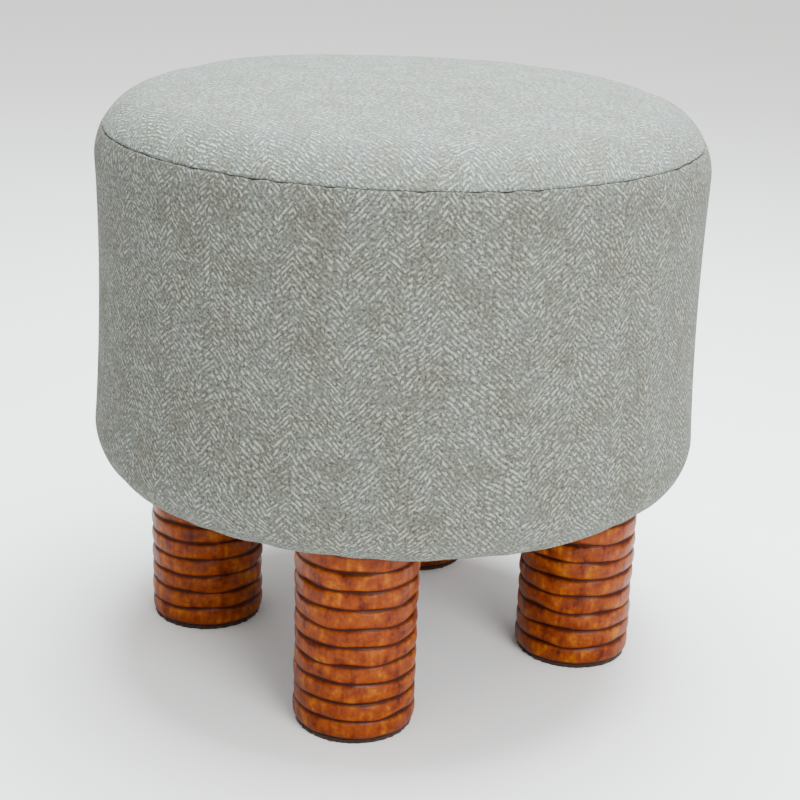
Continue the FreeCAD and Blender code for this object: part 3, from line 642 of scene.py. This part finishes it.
unevenness = 0.4 * mm
gather_depth = 0.35 * mm
gather_reach = 5 * mm
weave_turn = np.radians(-37.0)
soft = unevenness * ripples(angles, over, seed=11, count=12, around=5, length=120 * mm)
creases = ripples(angles, 0 * over, seed=7, count=30, around=80, length=1)
gathers = -gather_depth * np.clip(creases, 0, None) * np.exp(-np.abs(over) / gather_reach)
stitches = stitch_height * np.exp(-np.abs(over) / stitch_reach) * stitch_waves
net_end = len(face) - 8
net_rows = np.linspace(lip_row, net_end, 18).astype(int)
lift = settle(profile, net_rows, spare=0.004, cap=0.35 * mm)
push = (soft * np.clip(over / seam_fade, 0, 1) + gathers + stitches + lift) * worn
flat_radius = np.where(on_face, along[len(face) - 1] - along, profile[:, 0])
round_turn = wrapped - weave_turn
cut = flat_radius[:, None, None] * np.stack([np.cos(round_turn), np.sin(round_turn)], axis=-1)
top_cover = skin("top_cover", turned(profile, angles, push), cut, closed_profile=True)
# A paler, cooler copy of the cloth with less contrast: painted light from above.
top_cover.data.materials.append(chenille_herringbone(
    "top_lit_chenille_herringbone", [(0.5, "#808177"), (0.9, "#83887f"), (1.0, "#848c86")], 0.32, 1.6,
))
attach(top_cover, "root")
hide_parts("cover_top_panel")


# The dust cover is a round of thin black non-woven cloth, stapled under the base over the hem.
# It is pulled flat at its staples and under the legs, and hangs a little between them.

cloth_low, cloth_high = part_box("dust_cover")
cloth_radius = cloth_high.x
cloth_sheet = cloth_high.z - cloth_low.z
legs_out = 106 * mm
leg_reach = 32 * mm
hang = 1.1 * mm
taut_round_leg = 45 * mm
taut_at_edge = 40 * mm
pucker_height = 0.25 * mm
pucker_reach = 14 * mm
pressed_round_leg = 8 * mm
pressed_at_edge = 1.5 * mm
inner_rows = np.linspace(0, cloth_radius - 2 * mm, 60)
reach = np.concatenate([inner_rows, [cloth_radius - 0.6 * mm, cloth_radius]])[:, None]
turn = np.linspace(0, 2 * np.pi, 288, endpoint=False)
from_leg = np.full((len(reach), len(turn)), 1.0)
for quarter in range(4):
    leg_turn = np.pi / 4 + quarter * np.pi / 2
    apart_x = reach * np.cos(turn) - legs_out * np.cos(leg_turn)
    apart_y = reach * np.sin(turn) - legs_out * np.sin(leg_turn)
    from_leg = np.minimum(from_leg, np.hypot(apart_x, apart_y))
beyond_leg = from_leg - leg_reach
inwards = cloth_radius - reach
free = np.clip(beyond_leg / taut_round_leg, 0, 1) ** 1.3 * np.clip(inwards / taut_at_edge, 0, 1)
pucker_waves = ripples(turn, 0 * reach, seed=21, count=16, around=40, length=1)
puckers = pucker_height * pucker_waves * np.exp(-inwards / pucker_reach)
puckers *= np.clip(beyond_leg / pressed_round_leg, 0, 1) * np.clip(inwards / pressed_at_edge, 0, 1)
lower = cloth_low.z - hang * free - np.abs(puckers)
sheet_points = np.stack([reach * np.cos(turn), reach * np.sin(turn), lower], axis=-1)
upper_points = sheet_points[::-1] + [0, 0, cloth_sheet]
dust_sheet = skin("dust_sheet", np.concatenate([sheet_points, upper_points]), closed_profile=True)


def spunbond_cloth():
    """Black spun-bonded polypropylene: matt, with a lattice of small welded dots, drawn 2 mm
    apart, and a few paler fibres."""
    material, tree = new_material("spunbond_polypropylene")
    spot = add_node(tree, "ShaderNodeTexCoord").outputs["Object"]
    dots = add_node(
        tree, "ShaderNodeTexVoronoi", {"Vector": spot, "Scale": 1 / (2 * mm), "Randomness": 0.15}
    ).outputs["Distance"]
    fibres = add_node(tree, "ShaderNodeTexNoise", {"Vector": spot, "Scale": 1 / (1.5 * mm), "Detail": 4.0})
    colour = add_node(tree, "ShaderNodeValToRGB", {"Fac": fibres})
    fill_ramp(colour, [(0.4, "#17181a"), (0.75, "#34363a")])
    bump = add_node(tree, "ShaderNodeBump", {"Height": dots, "Strength": 0.5, "Distance": 0.25 * mm})
    shader = add_node(
        tree, "ShaderNodeBsdfPrincipled", {"Base Color": colour, "Roughness": 0.75, "Normal": bump}
    )
    add_node(tree, "ShaderNodeOutputMaterial", {"Surface": shader})
    return material


dust_sheet.data.materials.append(spunbond_cloth())
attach(dust_sheet, "root")
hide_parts("dust_cover")


# The legs are turned from thick blanks, then ringed by hand with a narrow gouge, so that the
# grooves wander and the rings between them keep small flats. They are amber-stained under gloss
# lacquer. Their colour is darkened in the grooves, partly stain gathered there and partly painted
# shade, with painted shade on the lower face of each ring just above a groove and at the leg's
# top under the seat, and it is darker round the foot.

leg_columns = 240
rings = 10
rows_in_ring = 16
groove_width = 0.95 * mm
groove_depth = 1.3 * mm
groove_wander = 0.4 * mm
groove_variation = 0.3
groove_stain_and_shade_width = 1.15
painted_shade_above_groove = 0.55
painted_shade_above_reach = 2.5
ring_swell = 0.45 * mm
flat_depth = 0.3 * mm
flat_half_length = 0.42
turned_unevenness = 0.22 * mm
room_for_swell = 0.3 * mm
foot_rounding = 2.2 * mm
foot_darkening_height = 1.6 * mm
painted_shade_under_seat = 0.8
painted_shade_under_seat_height = 2.5 * mm
leg_places = ("front_left", "front_right", "rear_left", "rear_right")


def carved_leg(name, node, seed):
    """A cylinder whose radius is less the groove's bell curve round each wandering ring line,
    more the ring's own swell between two lines, and less the flats that the gouge left."""
    low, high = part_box(node)
    centre = (low + high) / 2
    radius = (high.x - low.x) / 2
    length = high.z - low.z
    pitch = length / rings
    chance = np.random.default_rng(seed)
    angle = np.linspace(0, 2 * np.pi, leg_columns, endpoint=False)
    height = np.linspace(0, length, rings * rows_in_ring + 1)
    around, up = np.meshgrid(angle, height)
    depth = np.zeros(around.shape)
    dark = np.zeros(around.shape)
    for ring in range(1, rings):
        wander = groove_wander * ripples(
            angle, 0, seed=seed * 100 + ring, count=7, around=6, length=1
        )
        strength = 1 + groove_variation * ripples(
            angle, 0, seed=seed * 300 + ring, count=6, around=9, length=1
        )
        distance_up = (up - ring * pitch - wander) / (groove_width * np.clip(strength, 0.6, 1.5))
        bell = np.exp(-distance_up ** 2)
        depth += groove_depth * np.clip(strength, 0.55, 1.4) * bell
        # Darkened round each groove line: partly stain gathered in the groove, partly painted shade.
        dark = np.maximum(dark, np.exp(-(distance_up / groove_stain_and_shade_width) ** 2))
        # Painted shade fading up the lower face of the ring above each groove.
        painted_shade_above = painted_shade_above_groove * np.exp(-distance_up / painted_shade_above_reach) * (distance_up > 0)
        dark = np.maximum(dark, painted_shade_above)
    swell = ring_swell * (1 - np.cos(2 * np.pi * up / pitch)) / 2
    flats = np.zeros(around.shape)
    for ring in range(rings):
        count = chance.integers(11, 16)
        phase = chance.uniform(0, 1)
        saw = np.abs(((around / (2 * np.pi) * count + phase) % 1) - 0.5) * 2
        here = np.exp(-((up / pitch - ring - 0.5) / flat_half_length) ** 4)
        flats += flat_depth * (1 - saw ** 2) * here
    uneven = turned_unevenness * ripples(
        around, up, seed=seed + 50, count=10, around=8, length=20 * mm
    )
    inside_foot = np.clip(foot_rounding - up, 0, None)
    bend = foot_rounding - np.sqrt(np.clip(foot_rounding ** 2 - inside_foot ** 2, 0, None))
    outer = radius - room_for_swell - depth + swell - flats + uneven - bend
    # Darker round the foot.
    dark = np.maximum(dark, np.exp(-(up / foot_darkening_height) ** 2))
    # Painted shade at the leg's top, under the seat.
    dark = np.maximum(dark, painted_shade_under_seat * np.exp(-((length - up) / painted_shade_under_seat_height) ** 2))
    shrink = np.array([0.0, 0.5, 0.96])[:, None]
    outer = np.concatenate([outer[:1] * shrink, outer, outer[-1:] * shrink[::-1]])
    up = np.concatenate([up[:1].repeat(3, 0), up, up[-1:].repeat(3, 0)])
    points = np.stack([
        centre.x + outer * np.cos(angle),
        centre.y + outer * np.sin(angle),
        low.z + up,
    ], axis=-1)
    piece = skin(name, points)
    marks = piece.data.attributes.new("groove", "FLOAT", "POINT")
    spots = np.zeros(len(piece.data.vertices) * 3, np.float32)
    piece.data.vertices.foreach_get("co", spots)
    spots = spots.reshape(-1, 3) - np.array(centre, np.float32)
    turns = np.arctan2(spots[:, 1], spots[:, 0]) / (2 * np.pi)
    turn = np.round(turns * leg_columns).astype(int) % leg_columns
    level = np.clip(np.searchsorted(height, spots[:, 2] + length / 2 - 1e-6), 0, len(height) - 1)
    marks.data.foreach_set("value", dark[level, turn].astype(np.float32))
    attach(piece, "root")
    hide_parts(node)
    return piece


def amber_stained_wood():
    """Close-grained hardwood under amber stain and gloss lacquer: mottled orange-brown with
    faint upright grain, and broken highlights. The groove attribute mixes it towards nearly
    black-brown: stain and painted shade in the grooves, painted shade above them and under the
    seat, and darker round the foot."""
    material, tree = new_material("amber_stained_turned_wood")
    spot = add_node(tree, "ShaderNodeTexCoord").outputs["Object"]
    upright_grain = add_node(
        tree, "ShaderNodeMapping", {"Vector": spot, "Scale": (1 / (3 * mm), 1 / (3 * mm), 1 / (16 * mm))}
    )
    grain = add_node(tree, "ShaderNodeTexNoise", {"Vector": upright_grain, "Scale": 1.0, "Detail": 5.0})
    clouds = add_node(
        tree, "ShaderNodeTexNoise",
        {"Vector": spot, "Scale": 1 / (8 * mm), "Detail": 4.0, "Roughness": 0.65},
    )
    stain = add_node(tree, "ShaderNodeMath", {0: grain, 1: 0.4, 2: clouds}, operation="MULTIPLY_ADD")
    wood = add_node(tree, "ShaderNodeValToRGB", {"Fac": stain})
    fill_ramp(wood, [(0.48, "#3b0d00"), (0.6, "#5e2100"), (0.76, "#773300"), (0.92, "#915200")])
    groove = add_node(tree, "ShaderNodeAttribute", attribute_name="groove").outputs["Fac"]
    groove_stain_and_shade = add_node(
        tree, "ShaderNodeMapRange",
        {"Value": groove, "From Min": 0.2, "From Max": 0.85, "To Max": 0.94},
    )
    # The dark brown mixed in is stain and painted shade in the grooves, painted shade above them and under
    # the seat, and darker round the foot.
    colour = add_node(
        tree, "ShaderNodeMix",
        {0: groove_stain_and_shade.outputs[0], 6: wood.outputs["Color"], 7: linear("#240400")},
        data_type="RGBA",
    )
    ridges = add_node(tree, "ShaderNodeTexNoise", {"Vector": spot, "Scale": 1 / (5 * mm), "Detail": 3.0})
    bump = add_node(tree, "ShaderNodeBump", {"Height": ridges, "Strength": 0.6, "Distance": 0.8 * mm})
    gloss = add_node(
        tree, "ShaderNodeMapRange",
        {"Value": clouds, "From Min": 0.3, "From Max": 0.7, "To Min": 0.3, "To Max": 0.55},
    )
    shader = add_node(tree, "ShaderNodeBsdfPrincipled", {
        "Base Color": colour.outputs[2],
        "Roughness": gloss.outputs[0],
        "IOR": 1.45,
        "Specular IOR Level": 0.12,
        "Coat Weight": 0.05,
        "Coat Roughness": 0.15,
        "Normal": bump,
    })
    add_node(tree, "ShaderNodeOutputMaterial", {"Surface": shader})
    return material


leg_material = amber_stained_wood()
for seed, corner in enumerate(leg_places, 1):
    leg = carved_leg("carved_leg_" + corner, "leg_" + corner, seed)
    leg.data.materials.append(leg_material)


# Each leg stands on a round of dark brown wool felt, punched from sheet and glued on, a little
# smaller than the foot. Its cut edge is slightly fuzzy and rounded by wear.

def punched_felt(name, node, seed):
    """A flat round turned from a profile with rounded corners, its edge pushed in and out by
    fine ripples."""
    low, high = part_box(node)
    centre = (low + high) / 2
    radius = (high.x - low.x) / 2
    thickness = high.z - low.z
    rounding = 0.7 * mm
    fuzz_height = 0.25 * mm
    edge = radius - rounding
    section = np.concatenate([
        line((0, 0), (edge, 0), 8),
        arc(np.array([edge, rounding]), rounding, -90, 0, 5),
        arc(np.array([edge, thickness - rounding]), rounding, 0, 90, 5),
        line((edge, thickness), (0, thickness), 8)[1:],
        [(0, thickness)],
    ])
    turn = np.linspace(0, 2 * np.pi, 160, endpoint=False)
    at_edge = section[:, :1] > edge - 1e-6
    fuzz = fuzz_height * ripples(turn, 0, seed=seed, count=20, around=60, length=1) * at_edge
    points = np.stack([
        centre.x + (section[:, :1] + fuzz) * np.cos(turn),
        centre.y + (section[:, :1] + fuzz) * np.sin(turn),
        low.z + section[:, 1:] + 0 * turn,
    ], axis=-1)
    piece = skin(name, points, closed_profile=True)
    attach(piece, "root")
    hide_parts(node)
    return piece


def wool_felt():
    """Pressed wool: dark brown, quite matt, with short tangled fibres and a soft sheen."""
    material, tree = new_material("pressed_wool_felt")
    spot = add_node(tree, "ShaderNodeTexCoord").outputs["Object"]
    fibres = add_node(
        tree, "ShaderNodeTexNoise",
        {"Vector": spot, "Scale": 1 / (0.9 * mm), "Detail": 5.0, "Distortion": 1.5},
    )
    colour = add_node(tree, "ShaderNodeValToRGB", {"Fac": fibres})
    fill_ramp(colour, [(0.35, "#1d120c"), (0.7, "#3b281d")])
    bump = add_node(tree, "ShaderNodeBump", {"Height": fibres, "Strength": 0.7, "Distance": 0.3 * mm})
    shader = add_node(tree, "ShaderNodeBsdfPrincipled", {
        "Base Color": colour,
        "Roughness": 0.95,
        "Specular IOR Level": 0.2,
        "Sheen Weight": 0.15,
        "Normal": bump,
    })
    add_node(tree, "ShaderNodeOutputMaterial", {"Surface": shader})
    return material


felt = wool_felt()
for seed, corner in enumerate(leg_places, 31):
    felt_round = punched_felt("felt_round_" + corner, "foot_pad_" + corner, seed)
    felt_round.data.materials.append(felt)


# The floor is a plain pale sheet that reaches far out. The light comes from one large soft box
# above, a weaker one in front, and the pale room around, which is brighter overhead.

floor_mesh = bpy.data.meshes.new("floor")
floor_reach = 30.0
floor_mesh.from_pydata(
    [
        (-floor_reach, -floor_reach, 0),
        (floor_reach, -floor_reach, 0),
        (floor_reach, floor_reach, 0),
        (-floor_reach, floor_reach, 0),
    ],
    [],
    [(0, 1, 2, 3)],
)
floor = bpy.data.objects.new("floor", floor_mesh)
bpy.context.scene.collection.objects.link(floor)
pale, tree = new_material("pale_floor")
shader = add_node(tree, "ShaderNodeBsdfPrincipled", {"Base Color": linear("#fafafa"), "Roughness": 0.8})
add_node(tree, "ShaderNodeOutputMaterial", {"Surface": shader})
floor_mesh.materials.append(pale)

world = bpy.data.worlds.new("room")
world.use_nodes = True
tree = world.node_tree
tree.nodes.clear()
direction = add_node(tree, "ShaderNodeTexCoord").outputs["Generated"]
to_light = add_node(
    tree, "ShaderNodeVectorMath", {0: direction, 1: (0.1, -0.4, 0.91)}, operation="DOT_PRODUCT"
)
dimmer = add_node(
    tree, "ShaderNodeMapRange",
    {"Value": to_light.outputs["Value"], "From Min": -0.5, "From Max": 1.0, "To Min": 0.15, "To Max": 1.8},
)
room = add_node(tree, "ShaderNodeBackground", {"Color": linear("#f6f6f4"), "Strength": dimmer.outputs[0]})
add_node(tree, "ShaderNodeOutputWorld", {"Surface": room})
bpy.context.scene.world = world

for name, place, size, power, code in (
    ("overhead", (0.2, 0.1, 1.3), 1.0, 61, "#f4fcff"),
    ("front_fill", (-0.15, -1.3, 0.75), 0.8, 21, "#ffffff"),
):
    lamp_data = bpy.data.lights.new(name, "AREA")
    lamp_data.shape = "DISK"
    lamp_data.size = size
    lamp_data.energy = power
    lamp_data.color = linear(code)[:3]
    lamp = bpy.data.objects.new(name, lamp_data)
    lamp.location = place
    lamp.rotation_euler = (Vector(place) - Vector((0, 0, 0.2))).to_track_quat("Z", "Y").to_euler()
    bpy.context.scene.collection.objects.link(lamp)
